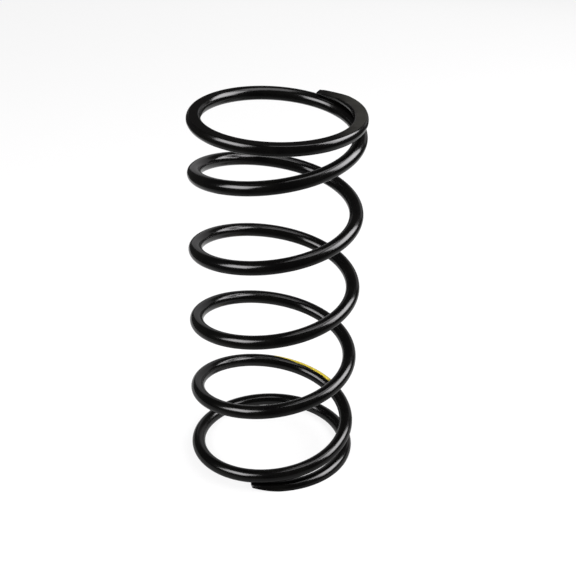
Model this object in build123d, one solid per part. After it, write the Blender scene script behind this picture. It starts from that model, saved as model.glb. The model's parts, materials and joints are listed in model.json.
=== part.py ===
"""Coil spring: a right-hand compression spring of round wire, with closed and ground ends.

Millimetres. The coil's axis is Z and the lower ground face lies on Z = 0. Azimuths are degrees from +X,
anticlockwise seen from above, and +Y is the back. The real wire is one piece. Here it is cut across at
even azimuths into short lengths, each a node that moves straight up and down, so that the coil can close.
"""

import math
import os
from dataclasses import dataclass

from build123d import *

# The wire and the coil
WIRE = 12.0  # wire diameter
MEAN_RADIUS = 68.5  # axis to the middle of the wire
PITCH = 70.1  # rise of each active turn
TURNS = 6.446  # from tip to tip, closed turns included
TIP_AZIMUTH = -103.3  # of the lower tip; the wire climbs anticlockwise from it

# The lengths that the wire is cut into
FIRST_CUT_AZIMUTH = 127.0
LENGTH_TURNS = 0.125
LENGTHS = 42  # between the two end coils
CUT_GAP = 0.1  # between neighbouring lengths
SIDES = ["right", "back_right", "back", "back_left", "left", "front_left", "front", "front_right"]

# The identification stripe, a film of paint on one length of the wire
STRIPE_LENGTH = 6  # the length that it is on, counted up from 0
STRIPE_FROM = 20.0  # degrees round the wire, from straight outwards towards the top
STRIPE_TO = 120.0
STRIPE_FILM = 0.15
STRIPE_CLEARANCE = 0.02
STRIPE_MARGIN = 0.003  # turns of bare wire at each end of that length

# Construction
STEP_TURNS = 1 / 48  # between the points of the centreline
OVERRUN = 1 / 60  # turns swept past each end, then cut off again
REACH = 2 * MEAN_RADIUS  # how far the cutting tools extend


@dataclass(frozen=True)
class End:
    """How the wire closes at one end. Heights run from the tip into the spring."""

    tip_left: float  # thickness that the grinding leaves at the tip
    dip: float  # from the middle of the tip to the middle of the flat coil
    dip_turns: float
    ramp_start: float  # turns from the tip to where the flat coil starts to climb
    ramp_turns: float  # over which the climb grows to the full pitch
    relief_depth: float  # of the wedge taken off the ground face at the tip
    relief_length: float


LOWER = End(
    tip_left=5.03,
    dip=3.92,
    dip_turns=0.404,
    ramp_start=0.556,
    ramp_turns=0.699,
    relief_depth=1.8,
    relief_length=22.0,
)
UPPER = End(
    tip_left=4.43,
    dip=5.92,
    dip_turns=0.324,
    ramp_start=0.573,
    ramp_turns=0.778,
    relief_depth=1.3,
    relief_length=25.0,
)


def rise(turns, end):
    """How far the middle of the wire is into the spring, this many turns from an end's tip."""
    dipped = min(turns / end.dip_turns, 1)
    climb = min(max((turns - end.ramp_start) / end.ramp_turns, 0), 1)
    eased = end.ramp_turns * (climb / 2 - math.sin(math.pi * climb) / (2 * math.pi))
    steady = max(turns - end.ramp_start - end.ramp_turns, 0)
    return end.dip * (dipped + math.sin(math.pi * dipped) / math.pi) + PITCH * (eased + steady)


LOWER_TIP_Z = LOWER.tip_left - WIRE / 2
UPPER_TIP_Z = LOWER_TIP_Z + rise(TURNS / 2, LOWER) + rise(TURNS / 2, UPPER)
FREE_LENGTH = UPPER_TIP_Z + UPPER.tip_left - WIRE / 2
FIRST_CUT = (FIRST_CUT_AZIMUTH - TIP_AZIMUTH) / 360
LAST_CUT = FIRST_CUT + LENGTHS * LENGTH_TURNS
HALF_GAP = CUT_GAP / 2 / (2 * math.pi * MEAN_RADIUS)


def azimuth(turns):
    return TIP_AZIMUTH + 360 * turns


def outward(turns):
    angle = math.radians(azimuth(turns))
    return Vector(math.cos(angle), math.sin(angle), 0)


def centre(turns):
    """The middle of the wire, this many turns up from the lower tip."""
    if turns < TURNS / 2:
        height = LOWER_TIP_Z + rise(turns, LOWER)
    else:
        height = UPPER_TIP_Z - rise(TURNS - turns, UPPER)
    return outward(turns) * MEAN_RADIUS + Vector(0, 0, height)


def centreline(start, stop):
    steps = math.ceil((stop - start) / STEP_TURNS)
    return Spline(*[centre(start + (stop - start) * i / steps) for i in range(steps + 1)])


def sector(start, stop):
    """Everything between two upright planes through the axis."""
    face = make_face(Polyline(Vector(0, 0), outward(start) * REACH, outward(stop) * REACH, close=True))
    return Pos(0, 0, -REACH) * extrude(face, FREE_LENGTH + 2 * REACH)


def swept(section, start, stop):
    """A section carried along the wire, with flat upright ends. Its X is outwards and its Y upwards."""
    path = centreline(start - OVERRUN, stop + OVERRUN)
    frame = Plane(origin=path @ 0, x_dir=outward(start - OVERRUN), z_dir=-(path % 0))
    body = sweep(frame * section, path=path, is_frenet=True)
    return body - sector(start - 2 * OVERRUN, start) - sector(stop, stop + 2 * OVERRUN)


def below(height):
    """A slab with its top face at a height, wide enough to cover the coil."""
    return Pos(0, 0, height) * Box(2 * REACH, 2 * REACH, WIRE, align=(Align.CENTER, Align.CENTER, Align.MAX))


def wire(start, stop):
    """A length of the wire, ground flat where it passes either end plane."""
    return swept(Circle(WIRE / 2), start, stop) - below(0) - below(FREE_LENGTH + WIRE)


def tip_relief(end, turns, height, inwards):
    """The wedge off the ground face at a tip. The wire runs into the spring the way that inwards points."""
    frame = Plane(
        origin=outward(turns) * MEAN_RADIUS + Vector(0, 0, height),
        x_dir=inwards,
        z_dir=outward(turns),
    )
    length = end.relief_length
    corners = [(length, 0), (-length, 2 * end.relief_depth), (-length, -end.relief_depth)]
    return extrude(frame * make_face(Polyline(*corners, close=True)), WIRE, both=True)


def lower_end_coil():
    along = outward(0.25)
    coil = wire(0, FIRST_CUT - HALF_GAP)
    return coil - tip_relief(LOWER, 0, 0, along)


def upper_end_coil():
    along = outward(TURNS - 0.25)
    coil = wire(LAST_CUT + HALF_GAP, TURNS)
    return coil - tip_relief(UPPER, TURNS, FREE_LENGTH, along)


def span(number):
    """Where a length starts and stops, in turns."""
    start = FIRST_CUT + number * LENGTH_TURNS
    return start + HALF_GAP, start + LENGTH_TURNS - HALF_GAP


def name(number):
    """The coil that a length belongs to, counted from the bottom, and the side of the spring that it is on."""
    middle = sum(span(number)) / 2
    side = round(azimuth(middle) * len(SIDES) / 360) % len(SIDES)
    return f"coil_{int(middle) + 1}_{SIDES[side]}"


def paint_stripe():
    start, stop = span(STRIPE_LENGTH)
    inner = WIRE / 2 + STRIPE_CLEARANCE
    sweep_angle = STRIPE_TO - STRIPE_FROM
    under = CenterArc((0, 0), inner, STRIPE_FROM, sweep_angle)
    over = CenterArc((0, 0), inner + STRIPE_FILM, STRIPE_FROM, sweep_angle)
    film = make_face([under, over, Line(under @ 0, over @ 0), Line(under @ 1, over @ 1)])
    return swept(film, start + STRIPE_MARGIN, stop - STRIPE_MARGIN)


def main():
    os.makedirs("parts", exist_ok=True)
    nodes = {
        "lower_end_coil": lower_end_coil(),
        "upper_end_coil": upper_end_coil(),
        "paint_stripe": paint_stripe(),
    }
    nodes.update({name(i): wire(*span(i)) for i in range(LENGTHS)})
    for node, solid in nodes.items():
        export_step(solid, f"parts/{node}.step")
    print(f"free length {FREE_LENGTH:.2f} mm, {len(nodes)} nodes")


main()
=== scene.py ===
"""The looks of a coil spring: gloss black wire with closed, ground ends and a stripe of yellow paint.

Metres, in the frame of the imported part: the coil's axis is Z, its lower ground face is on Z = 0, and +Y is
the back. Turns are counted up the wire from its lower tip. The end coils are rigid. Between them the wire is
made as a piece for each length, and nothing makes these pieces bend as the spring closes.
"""

import json
import math
from collections import namedtuple

import bmesh
import bpy
from mathutils import Matrix, Vector


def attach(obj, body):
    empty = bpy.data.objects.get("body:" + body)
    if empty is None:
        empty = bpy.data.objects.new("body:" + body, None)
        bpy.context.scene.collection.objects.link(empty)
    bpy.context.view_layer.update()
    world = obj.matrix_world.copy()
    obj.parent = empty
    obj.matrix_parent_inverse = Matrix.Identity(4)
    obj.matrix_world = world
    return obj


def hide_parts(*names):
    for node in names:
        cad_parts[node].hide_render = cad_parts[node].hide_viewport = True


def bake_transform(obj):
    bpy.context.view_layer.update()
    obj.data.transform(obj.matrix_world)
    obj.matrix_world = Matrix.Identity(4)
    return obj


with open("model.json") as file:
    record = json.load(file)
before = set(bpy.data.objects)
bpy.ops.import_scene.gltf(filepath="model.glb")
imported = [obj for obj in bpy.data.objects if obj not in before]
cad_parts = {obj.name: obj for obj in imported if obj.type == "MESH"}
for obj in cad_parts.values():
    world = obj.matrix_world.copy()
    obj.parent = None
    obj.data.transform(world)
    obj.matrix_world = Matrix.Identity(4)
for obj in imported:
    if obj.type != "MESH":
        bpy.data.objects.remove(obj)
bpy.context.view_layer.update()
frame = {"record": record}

# The wire and the coil
WIRE_RADIUS = 0.0060
MEAN_RADIUS = 0.0685
PITCH = 0.0701
TURNS = 6.446
TIP_AZIMUTH = -103.3

# The cuts between the lengths of wire, and which lengths belong to the rigid ends
FIRST_CUT_AZIMUTH = 127.0
LENGTH_TURNS = 0.125
LENGTHS = 42
SIDES = ["right", "back_right", "back", "back_left", "left", "front_left", "front", "front_right"]
RIGID_BELOW = 3
RIGID_ABOVE = 4
STRIPE_LENGTH = 6

# How the wire closes at an end, in metres and in turns from that end's tip
End = namedtuple("End", "tip_left dip dip_turns ramp_start ramp_turns relief_depth relief_length")
LOWER = End(0.00503, 0.00392, 0.404, 0.556, 0.699, 0.0018, 0.022)
UPPER = End(0.00443, 0.00592, 0.324, 0.573, 0.778, 0.0018, 0.025)

# The mesh of the wire
RING_POINTS = 64
RINGS_PER_LENGTH = 32
HALF_RING = RING_POINTS // 2
BOTTOM_POINT = RING_POINTS * 3 // 4
FLAT_POINTS = 6  # on each side of the middle of a flat, its rounded edge included
LAST_ON_FLAT = FLAT_POINTS - 2
FLAT_SHARE = 360 * FLAT_POINTS / RING_POINTS  # degrees of the round wire that those points stand for
LEAST_FLAT = 6.0  # degrees, half of what the points of a flat that is only just there take up
ROUND_CLEARANCE = math.cos(math.radians(LEAST_FLAT))  # wire radii to the ground plane that leave no edge
CLEAR_OF_FLAT = 0.5  # wire radii between the wire and the ground plane at which the points are even again
EDGE_ROUNDING = 0.00035
LARGEST_ROUNDING = 0.3  # of half a flat's width
RIM_RINGS = 4
CUT_INSETS = (3, 1.5)  # how far inside the rim the rings on a tip's cut are, in edge roundings
TAIL_RINGS = 6
TAIL_DEPTH = 0.0007  # how far the end of a length's tail lies inside its neighbour
STACK = 4 * WIRE_RADIUS  # from ring to ring while the mesh is made

# How the cut across a tip leans, in metres past the tip: at the middle of the wire, and what the wire's outer
# side and its top add to that. The lean fades out over the last of the wire.
Lean = namedtuple("Lean", "middle outer top")
LOWER_LEAN = Lean(-0.0027, 0.0, 0.0048)
UPPER_LEAN = Lean(0.0026, 0.0006, 0.0)
LEAN_LENGTH = 0.012

Ring = namedtuple("Ring", "turns inset")


# The line of the wire


def rise(turns, end):
    """How far the middle of the wire is into the spring, this many turns from an end's tip."""
    dipped = min(turns / end.dip_turns, 1)
    climb = min(max((turns - end.ramp_start) / end.ramp_turns, 0), 1)
    eased = end.ramp_turns * (climb / 2 - math.sin(math.pi * climb) / (2 * math.pi))
    steady = max(turns - end.ramp_start - end.ramp_turns, 0)
    return end.dip * (dipped + math.sin(math.pi * dipped) / math.pi) + PITCH * (eased + steady)


LOWER_TIP_Z = LOWER.tip_left - WIRE_RADIUS
UPPER_TIP_Z = LOWER_TIP_Z + rise(TURNS / 2, LOWER) + rise(TURNS / 2, UPPER)
FREE_LENGTH = UPPER_TIP_Z + UPPER.tip_left - WIRE_RADIUS
FIRST_CUT = (FIRST_CUT_AZIMUTH - TIP_AZIMUTH) / 360
STEP = LENGTH_TURNS / RINGS_PER_LENGTH


def cut(number):
    """Where a length of wire starts, in turns."""
    return FIRST_CUT + number * LENGTH_TURNS


def azimuth(turns):
    return math.radians(TIP_AZIMUTH + 360 * turns)


def outward(turns):
    return Vector((math.cos(azimuth(turns)), math.sin(azimuth(turns)), 0))


def onward(turns):
    """The level direction in which the wire runs, climbing."""
    return Vector((-math.sin(azimuth(turns)), math.cos(azimuth(turns)), 0))


def height(turns):
    if turns < TURNS / 2:
        return LOWER_TIP_Z + rise(max(turns, 0), LOWER)
    return UPPER_TIP_Z - rise(max(TURNS - turns, 0), UPPER)


def upright_radius(turns):
    """Half the height of an upright cut across the climbing wire."""
    run = math.tau * MEAN_RADIUS * 2 * STEP
    climb = height(turns + STEP) - height(turns - STEP)
    return WIRE_RADIUS * math.hypot(1, climb / run)


# The section of the wire, round but for its ground faces. Its points run round it from straight outwards
# towards the top, and its lengths are in wire radii.


def relief(end, turns):
    """How deep the wedge at an end's tip is, this many turns from the tip."""
    along = MEAN_RADIUS * math.sin(math.tau * min(turns, 0.25))
    return end.relief_depth * max(1 - along / end.relief_length, 0)


def clearances(turns):
    """From the middle of the wire down to the lower ground face and up to the upper one."""
    radius = upright_radius(turns)
    below = height(turns) - relief(LOWER, max(turns, 0))
    above = FREE_LENGTH - relief(UPPER, max(TURNS - turns, 0)) - height(turns)
    return below / radius, above / radius


def flat_angle(clearance):
    """Half the angle round the wire that a flat takes up, in degrees."""
    if clearance < 1:
        return max(math.degrees(math.acos(clearance)), LEAST_FLAT)
    return LEAST_FLAT + (FLAT_SHARE - LEAST_FLAT) * min((clearance - 1) / CLEAR_OF_FLAT, 1)


def rounding(half_angle):
    return min(EDGE_ROUNDING / WIRE_RADIUS, LARGEST_ROUNDING * math.sin(math.radians(half_angle)))


def covered(clearance):
    """Half the angle round the wire that a flat and its rounded edges take up, in radians."""
    half = flat_angle(clearance)
    return math.radians(half) + (rounding(half) if clearance < ROUND_CLEARANCE else 0)


def flat_point(number, clearance):
    """A point of a flat, counted from its middle to past its rounded edge: how far across and how far out."""
    half = flat_angle(clearance)
    angle = math.radians(half) * number / FLAT_POINTS
    if clearance > ROUND_CLEARANCE:
        return math.sin(angle), min(math.cos(angle), clearance)
    edge = math.sin(math.radians(half))
    inside = Vector((edge - rounding(half), clearance))
    corner = Vector((edge, clearance))
    outside = Vector((math.sin(covered(clearance)), math.cos(covered(clearance))))
    if number == FLAT_POINTS:
        return outside
    if number == FLAT_POINTS - 1:
        return (inside + 2 * corner + outside) / 4
    return inside.x * number / LAST_ON_FLAT, clearance


def section(turns, point):
    """A point of the section: how far across and up it is, and whether it is on a ground face."""
    below, above = clearances(turns)
    offset = (point - BOTTOM_POINT + HALF_RING) % RING_POINTS - HALF_RING
    side = math.copysign(1, offset)
    from_bottom = abs(offset)
    from_top = HALF_RING - from_bottom
    if from_bottom <= FLAT_POINTS:
        across, down = flat_point(from_bottom, below)
        return side * across, -down, below < 1 and from_bottom <= LAST_ON_FLAT
    if from_top <= FLAT_POINTS:
        across, up = flat_point(from_top, above)
        return side * across, up, above < 1 and from_top <= LAST_ON_FLAT
    first = covered(below)
    round_part = math.pi - first - covered(above)
    angle = first + round_part * (from_bottom - FLAT_POINTS) / (HALF_RING - 2 * FLAT_POINTS)
    return side * math.sin(angle), -math.cos(angle), False


# The meshes of the wire


def smooth(way):
    """From 0 to 1 as way is, but with a gentle start and finish, and level outside them."""
    inside = min(max(way, 0), 1)
    return inside * inside * (3 - 2 * inside)


def leaned(turns, right, up):
    """Where a point of a ring lies along the wire, in turns, once the tips lean."""
    around = math.tau * MEAN_RADIUS
    for lean, from_tip, way in ((LOWER_LEAN, turns, -1), (UPPER_LEAN, TURNS - turns, 1)):
        faded = 1 - smooth(from_tip * around / LEAN_LENGTH)
        past = lean.middle + lean.outer * right + lean.top * up
        turns += way * faded * past / around
    return turns


def rim(tip, inwards):
    """The rings that round the rim of a cut tip, from the middle of the cut to where the wire is whole."""
    rings = [Ring(tip, inset * EDGE_ROUNDING) for inset in CUT_INSETS]
    for i in range(RIM_RINGS + 1):
        turned = math.pi / 2 * i / RIM_RINGS
        along = EDGE_ROUNDING * (1 - math.cos(turned))
        inset = EDGE_ROUNDING * (1 - math.sin(turned))
        rings.append(Ring(tip + inwards * along / (math.tau * MEAN_RADIUS), inset))
    return rings


def even(start, stop):
    """Rings a step apart, from a start to a stop and both included."""
    steps = round((stop - start) / STEP)
    return [Ring(start + (stop - start) * i / steps, 0) for i in range(steps + 1)]


def tail(start, way):
    """Rings past a cut that sink into the neighbouring length, gently at first, so that no seam shows."""
    return [
        Ring(start + way * STEP * i, TAIL_DEPTH * (i / TAIL_RINGS) ** 3)
        for i in range(1, TAIL_RINGS + 1)
    ]


def tube(rings):
    """The closed skin of the wire through these rings, with its ground faces in the second material.

    A round disc is spun into rings that lie one above another, and each point is then put on the wire.
    """
    wire = bmesh.new()
    steps = len(rings) - 1
    across = Matrix((outward(0), Vector((0, 0, 1)), -onward(0))).transposed().to_4x4()
    at_start = Matrix.Translation(outward(0) * MEAN_RADIUS) @ across
    bmesh.ops.create_circle(
        wire, cap_ends=True, segments=RING_POINTS, radius=WIRE_RADIUS, matrix=at_start
    )
    bmesh.ops.spin(
        wire,
        geom=wire.faces[:],
        cent=(0, 0, 0),
        axis=(0, 0, 1),
        dvec=(0, 0, STACK),
        angle=-steps * STEP * math.tau,
        space=Matrix.Identity(4),
        steps=steps,
        use_merge=False,
        use_normal_flip=False,
        use_duplicate=False,
    )
    ground = set()
    for vertex in wire.verts:
        number = round(vertex.co.z / STACK)
        out = math.hypot(vertex.co.x, vertex.co.y) - MEAN_RADIUS
        around = math.atan2(vertex.co.z - number * STACK, out)
        point = round(around / math.tau * RING_POINTS) % RING_POINTS
        turns, inset = rings[number]
        right, up, grounded = section(turns, point)
        turns = leaned(turns, right, up)
        drawn_in = 1 - inset / WIRE_RADIUS
        radius = MEAN_RADIUS + WIRE_RADIUS * right * drawn_in
        vertex.co = outward(turns) * radius
        vertex.co.z = height(turns) + upright_radius(turns) * up * drawn_in
        if grounded:
            ground.add(vertex)
    for face in wire.faces:
        face.smooth = True
        face.material_index = int(all(vertex in ground for vertex in face.verts))
    bmesh.ops.recalc_face_normals(wire, faces=wire.faces[:])
    return wire


def piece(name, shape, materials):
    """A finished piece from its bmesh."""
    mesh = bpy.data.meshes.new(name)
    shape.to_mesh(mesh)
    shape.free()
    made = bpy.data.objects.new(name, mesh)
    for material in materials:
        mesh.materials.append(material)
    bpy.context.scene.collection.objects.link(made)
    return made


# Materials


# The sockets of a mix node when it mixes colours
FIRST_COLOUR = 6
SECOND_COLOUR = 7
MIXED_COLOUR = 2


class Number:
    """The output of a node, which takes part in sums."""

    def __init__(self, finish, socket):
        self.finish = finish
        self.socket = socket

    def __add__(self, other):
        return self.finish.node("ShaderNodeMath", {"operation": "ADD"}, {0: self, 1: other})

    def __mul__(self, other):
        return self.finish.node("ShaderNodeMath", {"operation": "MULTIPLY"}, {0: self, 1: other})

    __radd__ = __add__
    __rmul__ = __mul__


class Finish:
    """A material in the making."""

    def __init__(self, name):
        self.material = bpy.data.materials.new(name)
        self.material.use_nodes = True
        self.tree = self.material.node_tree
        self.shader = self.tree.nodes["Principled BSDF"]

    def fill(self, node, values):
        for key, value in values.items():
            if isinstance(value, Number):
                self.tree.links.new(value.socket, node.inputs[key])
            else:
                node.inputs[key].default_value = value

    def node(self, kind, settings, values, output=0):
        made = self.tree.nodes.new(kind)
        for key, value in settings.items():
            setattr(made, key, value)
        self.fill(made, values)
        return Number(self, made.outputs[output])

    def place(self):
        """Where a point is on the piece."""
        return self.node("ShaderNodeTexCoord", {}, {}, "Object")

    def axis(self, vector, name):
        return self.node("ShaderNodeSeparateXYZ", {}, {"Vector": vector}, name)

    def noise(self, place, scale, detail=2.0):
        values = {"Vector": place, "Scale": scale, "Detail": detail}
        return self.node("ShaderNodeTexNoise", {}, values, "Fac")

    def between(self, number, low, high):
        """0 where a number is at its low mark, 1 at its high mark, and smooth between them."""
        values = {"Value": number, "From Min": low, "From Max": high}
        return self.node("ShaderNodeMapRange", {"interpolation_type": "SMOOTHSTEP"}, values)

    def colours(self, share, first, second):
        values = {"Factor": share, FIRST_COLOUR: first, SECOND_COLOUR: second}
        return self.node("ShaderNodeMix", {"data_type": "RGBA"}, values, MIXED_COLOUR)

    def bump(self, strength, height, distance):
        values = {"Strength": strength, "Distance": distance, "Height": height}
        return self.node("ShaderNodeBump", {}, values)

    def surface(self, **values):
        self.fill(self.shader, {key.replace("_", " "): value for key, value in values.items()})
        return self.material


BLACK = (0.0011, 0.0010, 0.0010, 1)
DUSTY_BLACK = (0.0026, 0.0025, 0.0021, 1)
GROUND_BLACK = (0.0034, 0.0033, 0.0031, 1)
GROUND_GREY = (0.0290, 0.0286, 0.0258, 1)
YELLOW = (0.53, 0.42, 0.035, 1)
# The stripe's second yellow is painted shade: darker, for the side of the stripe where the round wire turns
# away from the front.
PAINTED_SHADE_OCHRE = (0.20, 0.15, 0.020, 1)
WHITE = (1, 1, 1, 1)
NO_COLOUR = (0, 0, 0, 1)

# The sizes of the textures, in cells a metre
COAT_PATCHES = 55
COAT_PEEL = 520
COAT_GRAIN = 2600
GROUND_PATCHES = 90
GROUND_GRAIN = 1500
SCRATCHES = (90, 1400, 90)
SCRATCHES_TURNED = math.radians(35)
TEXTURE_HEIGHT = 0.00005

# Where along X the upper ground face turns from black to grey, in metres, and how ragged that is
GREY_FROM = 0.050
GREY_TO = 0.078
GREY_RAGGED = 0.02

# The brush's streaks, along and across the stroke
BRISTLES = (3, 26, 1)
BRISTLES_HEIGHT = 0.00004


def black_coat():
    """Gloss powder coat on round wire: a fine orange peel, and a gloss that is a little uneven."""
    coat = Finish("black_coat")
    place = coat.place()
    patches = coat.noise(place, COAT_PATCHES)
    peel = coat.noise(place, COAT_PEEL, 1.0)
    grain = coat.noise(place, COAT_GRAIN, 1.0)
    return coat.surface(
        Base_Color=coat.colours(coat.between(patches, 0.35, 0.75), BLACK, DUSTY_BLACK),
        Roughness=0.11 + patches * 0.07 + grain * 0.03,
        Normal=coat.bump(0.35, peel + grain * 0.15, TEXTURE_HEIGHT),
        Specular_IOR_Level=0.5,
    )


def ground_face():
    """The same coat over a ground face: dull, with the wheel's scratches under it, and grey in part."""
    face = Finish("ground_face")
    place = face.place()
    turned = {"Vector": place, "Rotation": (0, 0, SCRATCHES_TURNED), "Scale": SCRATCHES}
    scratches = face.noise(face.node("ShaderNodeMapping", {}, turned), 1.0)
    patches = face.noise(place, GROUND_PATCHES)
    grain = face.noise(place, GROUND_GRAIN, 1.0)
    grey = face.between(face.axis(place, "X") + GREY_RAGGED * patches, GREY_FROM, GREY_TO)
    return face.surface(
        Base_Color=face.colours(grey * (0.6 + 0.5 * patches), GROUND_BLACK, GROUND_GREY),
        Roughness=0.34 + 0.12 * patches + 0.10 * grey,
        Normal=face.bump(0.5, scratches + 0.4 * grain, TEXTURE_HEIGHT),
        Specular_IOR_Level=0.010,
    )


def yellow_paint():
    """A brush stroke of yellow paint: black at its ragged edges, and ochre painted shade on its outer side.

    The piece's UV map runs along the stroke in U and across it, from its outer edge, in V.
    """
    paint = Finish("yellow_paint")
    stroke = paint.node("ShaderNodeUVMap", {"uv_map": "stroke"}, {})
    along = paint.axis(stroke, "X")
    across = paint.axis(stroke, "Y")
    bristles = paint.node("ShaderNodeMapping", {}, {"Vector": stroke, "Scale": BRISTLES})
    streaks = paint.noise(bristles, 1.0)
    ragged = across + 0.10 * streaks
    body = paint.between(ragged, 0.06, 0.16) * paint.between(ragged, 1.02, 0.90)
    ends = paint.between(along + 0.25 * streaks, 0.12, 0.20) * paint.between(along, 1.0, 0.97)
    # Painted shade: the stripe's outer side, where the round wire turns away from the front, is darkened from
    # yellow to ochre.
    yellow_with_painted_shade = paint.colours(paint.between(across + 0.25 * streaks, 0.55, 0.72), PAINTED_SHADE_OCHRE, YELLOW)
    return paint.surface(
        Base_Color=paint.colours(body * ends, BLACK, yellow_with_painted_shade),
        Roughness=0.30 + 0.15 * streaks,
        Normal=paint.bump(0.4, streaks, BRISTLES_HEIGHT),
        Specular_IOR_Level=0.5,
    )


# The spring

COAT = black_coat()
GROUND = ground_face()
PAINT = yellow_paint()
SHARES = {
    coupling["joint"].removeprefix("follow_"): coupling["ratio"]
    for coupling in frame["record"]["behaviour"]["couplings"]
}


def length_name(number):
    """The coil that a length belongs to, counted from the bottom, and its side of the spring."""
    middle = cut(number + 0.5)
    side = round(math.degrees(azimuth(middle)) * len(SIDES) / 360) % len(SIDES)
    return f"coil_{int(middle) + 1}_{SIDES[side]}"


def share(number):
    """How much of the closing motion a length follows, from 0 with the lower end to 1 with the upper one."""
    return SHARES.get(length_name(number), float(number > LENGTHS / 2))


def bend(made, number):
    """Works out, from the length's own share of the closing to the next one's, where a bend of a piece on
    this length would start and how it would scale, but doesn't use them: the piece only has its transform
    baked.

    A point's weight between the ends would be 3 t t - 2 t t t, with t from 0 at the start to 1 at the end.
    """
    along = onward(cut(number + 0.5))
    reach = MEAN_RADIUS * math.sin(math.pi * LENGTH_TURNS)
    first, last = [
        0.5 - math.sin(math.asin(1 - 2 * weight) / 3) for weight in (share(number), share(number + 1))
    ]
    scale = 2 * reach / (last - first)
    start = along * (-reach - first * scale)
    start + along * scale
    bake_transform(made)


def lower_end():
    tip, last = rim(0, 1), cut(RIGID_BELOW)
    rings = tip[:-1] + even(tip[-1].turns, last) + tail(last, 1)
    made = piece("lower_end_coil_skin", tube(rings), [COAT, GROUND])
    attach(made, "lower_end")
    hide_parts("lower_end_coil", *[length_name(i) for i in range(RIGID_BELOW)])


def upper_end():
    first = cut(LENGTHS - RIGID_ABOVE)
    tip = rim(TURNS, -1)[::-1]
    rings = tail(first, -1)[::-1] + even(first, tip[0].turns) + tip[1:]
    made = piece("upper_end_coil_skin", tube(rings), [COAT, GROUND])
    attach(made, "upper_end")
    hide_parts("upper_end_coil", *[length_name(i) for i in range(LENGTHS - RIGID_ABOVE, LENGTHS)])


def length(number):
    first, last = cut(number), cut(number + 1)
    rings = tail(first, -1)[::-1] + even(first, last) + tail(last, 1)
    made = piece(f"{length_name(number)}_skin", tube(rings), [COAT, GROUND])
    bend(made, number)
    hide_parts(length_name(number))


# The paint stripe. Its edges are in degrees round the wire, from straight outwards towards the top.
STRIPE_TURNS = 0.147
STRIPE_FROM = 22.0
STRIPE_TO = 105.0
STRIPE_TAPER = 24.0  # degrees by which the inner edge comes in at the upper end
STRIPE_OUTER_TAPER = 0.5  # how much of that the outer edge comes in
STRIPE_TAPER_FROM = 0.62  # of its length
STRIPE_WAVES = ((1.6, 23, 0), (0.9, 61, 1))  # size in degrees, and a sine's gain and start along it
STRIPE_FILM = 0.00010
STRIPE_SUNK = 0.00003  # how far its edges lie under the skin
STRIPE_BORDER = 0.12  # of its width, over which the film thins out
STRIPE_SLENDER = 4  # how much longer than wide it is, for the border at its ends
STRIPE_STEPS = (96, 40)  # along and across it


def paint_stripe():
    """A film that rises out of the wire's skin, and has its back inside the wire."""
    film = bmesh.new()
    steps_along, steps_across = STRIPE_STEPS
    bmesh.ops.create_grid(film, x_segments=steps_along, y_segments=steps_across, size=1, calc_uvs=False)
    stroke = film.loops.layers.uv.new("stroke")
    for face in film.faces:
        face.smooth = True
        for loop in face.loops:
            loop[stroke].uv = (loop.vert.co.xy + Vector((1, 1))) / 2
    for vertex in film.verts:
        along, across = (vertex.co.x + 1) / 2, (vertex.co.y + 1) / 2
        taper = STRIPE_TAPER * smooth((along - STRIPE_TAPER_FROM) / (1 - STRIPE_TAPER_FROM))
        wave = sum(size * math.sin(gain * along + start) for size, gain, start in STRIPE_WAVES)
        inner = STRIPE_TO - taper + wave
        outer = STRIPE_FROM + STRIPE_OUTER_TAPER * taper - wave
        angle = math.radians(outer + (inner - outer) * across)
        border = min(across, 1 - across, STRIPE_SLENDER * along, STRIPE_SLENDER * (1 - along))
        film_here = STRIPE_FILM * smooth(border / STRIPE_BORDER) - STRIPE_SUNK
        turns = cut(STRIPE_LENGTH) + STRIPE_TURNS * along
        scale = (WIRE_RADIUS + film_here) / WIRE_RADIUS
        radius = MEAN_RADIUS + WIRE_RADIUS * scale * math.cos(angle)
        vertex.co = outward(turns) * radius
        vertex.co.z = height(turns) + upright_radius(turns) * scale * math.sin(angle)
    bmesh.ops.recalc_face_normals(film, faces=film.faces[:])
    bmesh.ops.solidify(film, geom=film.faces[:], thickness=STRIPE_FILM + STRIPE_SUNK)
    bmesh.ops.recalc_face_normals(film, faces=film.faces[:])
    made = piece("paint_stripe_film", film, [PAINT])
    bend(made, STRIPE_LENGTH)
    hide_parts("paint_stripe")


# The studio

MIDDLE = Vector((0, 0, FREE_LENGTH / 2))
FLOOR_SIZE = 60.0
FLOOR_GAP = 0.0002  # keeps the floor out of the lower ground face
FLOOR_GREY = (0.18, 0.18, 0.18, 1)
FLOOR_GLOW = 0.82
REFLECTOR_SIZE = 1.2
REFLECTOR_PLACE = (0.10, 0.16, -0.01)
REFLECTOR_WAY = (0.15, 0.99, 0)  # the way in which it grows brighter
REFLECTOR_DIM_AT = -0.38
REFLECTOR_BRIGHT_AT = 0.35
REFLECTOR_DIM = (0.08, 0.08, 0.08, 1)
REFLECTOR_BRIGHT = (0.62, 0.62, 0.62, 1)
BACKDROP = 1.0
DIM_ROOM = 0.045
LAMP_TINT = (1.0, 0.985, 1.0)
CAMERA_PLACE = Vector((0, -0.93170, 0.67199))
CAMERA_TILT = 0.4974  # below level, in radians
CAMERA_PAN = -0.0128
CAMERA_ROLL = 0.0232
CAMERA_LENS = 75.5
CAMERA_REACH = 100

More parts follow.
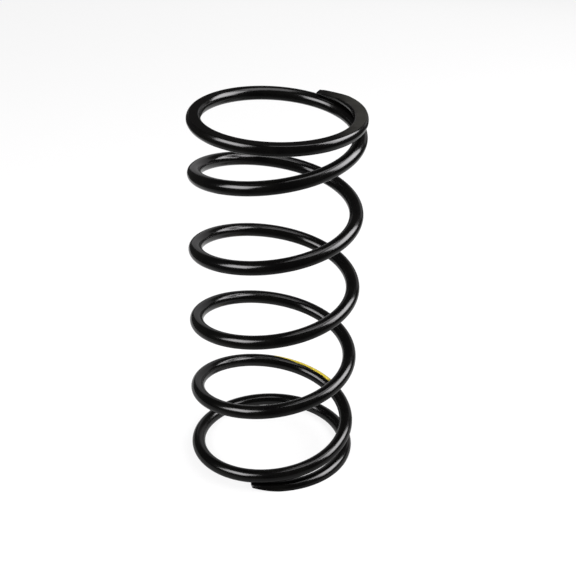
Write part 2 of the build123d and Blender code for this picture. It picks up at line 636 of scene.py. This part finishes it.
# Rectangular lamps that face the spring: where they are and how large they look from it, in degrees, how far
# away they are, in metres, and how bright they are. Headings are from the back towards the right.
Lamp = namedtuple("Lamp", "name heading elevation distance width tall radiance")
LAMPS = [
    Lamp("left_softbox", -119.5, 33, 1.6, 39, 32, 6.4),
    Lamp("left_softbox_middle", -119.5, 33, 1.55, 24, 19, 3.6),
    Lamp("right_softbox", 85, 37.5, 1.6, 45, 37, 7.0),
    Lamp("right_softbox_middle", 83, 37, 1.55, 28, 23, 3.2),
    Lamp("top_softbox", 95, 77, 1.6, 34, 34, 2.5),
    Lamp("back_panel", 12, 12, 1.6, 70, 26, 0.3),
]


def towards(heading, elevation):
    """The direction of a heading and an elevation, in degrees."""
    heading, elevation = math.radians(heading), math.radians(elevation)
    level = Vector((math.sin(heading), math.cos(heading), 0))
    return level * math.cos(elevation) + Vector((0, 0, math.sin(elevation)))


def light(lamp):
    rectangle = bpy.data.lights.new(lamp.name, "AREA")
    rectangle.shape = "RECTANGLE"
    rectangle.size = 2 * lamp.distance * math.tan(math.radians(lamp.width / 2))
    rectangle.size_y = 2 * lamp.distance * math.tan(math.radians(lamp.tall / 2))
    rectangle.energy = lamp.radiance * math.pi * rectangle.size * rectangle.size_y
    rectangle.color = LAMP_TINT
    placed = bpy.data.objects.new(lamp.name, rectangle)
    way = towards(lamp.heading, lamp.elevation)
    placed.location = MIDDLE + way * lamp.distance
    placed.rotation_euler = way.to_track_quat("Z", "Y").to_euler()
    placed.visible_camera = False
    bpy.context.scene.collection.objects.link(placed)


def reflecting():
    """A glow for the gloss of the wire to see, brighter towards the back."""
    lit = Finish("reflector")
    values = {0: lit.place(), 1: REFLECTOR_WAY}
    far = lit.node("ShaderNodeVectorMath", {"operation": "DOT_PRODUCT"}, values, "Value")
    brightness = lit.between(far, REFLECTOR_DIM_AT, REFLECTOR_BRIGHT_AT)
    return lit.surface(
        Base_Color=NO_COLOUR,
        Emission_Color=lit.colours(brightness, REFLECTOR_DIM, REFLECTOR_BRIGHT),
        Emission_Strength=1.0,
        Specular_IOR_Level=0.0,
    )


def pale_floor():
    """Pale and dull from above, and clear from below, so that the underside of the spring can be seen."""
    pale = Finish("pale_floor")
    material = pale.surface(
        Base_Color=FLOOR_GREY,
        Emission_Color=WHITE,
        Emission_Strength=FLOOR_GLOW,
        Roughness=1.0,
        Specular_IOR_Level=0.0,
    )
    from_below = pale.node("ShaderNodeNewGeometry", {}, {}, "Backfacing")
    dull = Number(pale, pale.shader.outputs["BSDF"])
    clear = pale.node("ShaderNodeBsdfTransparent", {}, {})
    shown = pale.node("ShaderNodeMixShader", {}, {0: from_below, 1: dull, 2: clear})
    pale.fill(pale.tree.nodes["Material Output"], {"Surface": shown})
    return material


def sheet(name, size, place, material):
    """A level square of scenery."""
    shape = bmesh.new()
    centre = Matrix.Translation(place)
    bmesh.ops.create_grid(shape, x_segments=1, y_segments=1, size=size / 2, matrix=centre)
    made = piece(name, shape, [material])
    return made


def floor():
    """A pale floor. The gloss of the wire doesn't see it, but a smaller and dimmer reflector under it."""
    pale = sheet("floor", FLOOR_SIZE, (0, 0, -FLOOR_GAP), pale_floor())
    pale.visible_glossy = False
    reflector = sheet("reflector", REFLECTOR_SIZE, REFLECTOR_PLACE, reflecting())
    reflector.visible_camera = False
    reflector.visible_diffuse = False
    reflector.visible_shadow = False


def room():
    """White where the camera looks past the floor, and dim to everything else."""
    world = bpy.data.worlds.new("studio")
    bpy.context.scene.world = world
    world.use_nodes = True
    nodes, links = world.node_tree.nodes, world.node_tree.links
    seen = nodes.new("ShaderNodeLightPath")
    shade = nodes.new("ShaderNodeMapRange")
    shade.inputs["To Min"].default_value = DIM_ROOM
    shade.inputs["To Max"].default_value = BACKDROP
    links.new(seen.outputs["Is Camera Ray"], shade.inputs["Value"])
    links.new(shade.outputs["Result"], nodes["Background"].inputs["Strength"])
    nodes["Background"].inputs["Color"].default_value = WHITE


def camera():
    lens = bpy.data.cameras.new("camera")
    lens.lens = CAMERA_LENS
    lens.clip_end = CAMERA_REACH
    placed = bpy.data.objects.new("camera", lens)
    pan = Matrix.Rotation(CAMERA_PAN, 4, "Z")
    tilt = Matrix.Rotation(math.pi / 2 - CAMERA_TILT, 4, "X")
    roll = Matrix.Rotation(CAMERA_ROLL, 4, "Z")
    placed.matrix_world = Matrix.Translation(CAMERA_PLACE) @ pan @ tilt @ roll
    bpy.context.scene.collection.objects.link(placed)
    bpy.context.scene.camera = placed


lower_end()
for number in range(RIGID_BELOW, LENGTHS - RIGID_ABOVE):
    length(number)
upper_end()
paint_stripe()
camera()
for lamp in LAMPS:
    light(lamp)
floor()
room()
bpy.context.scene.view_settings.view_transform = "Standard"
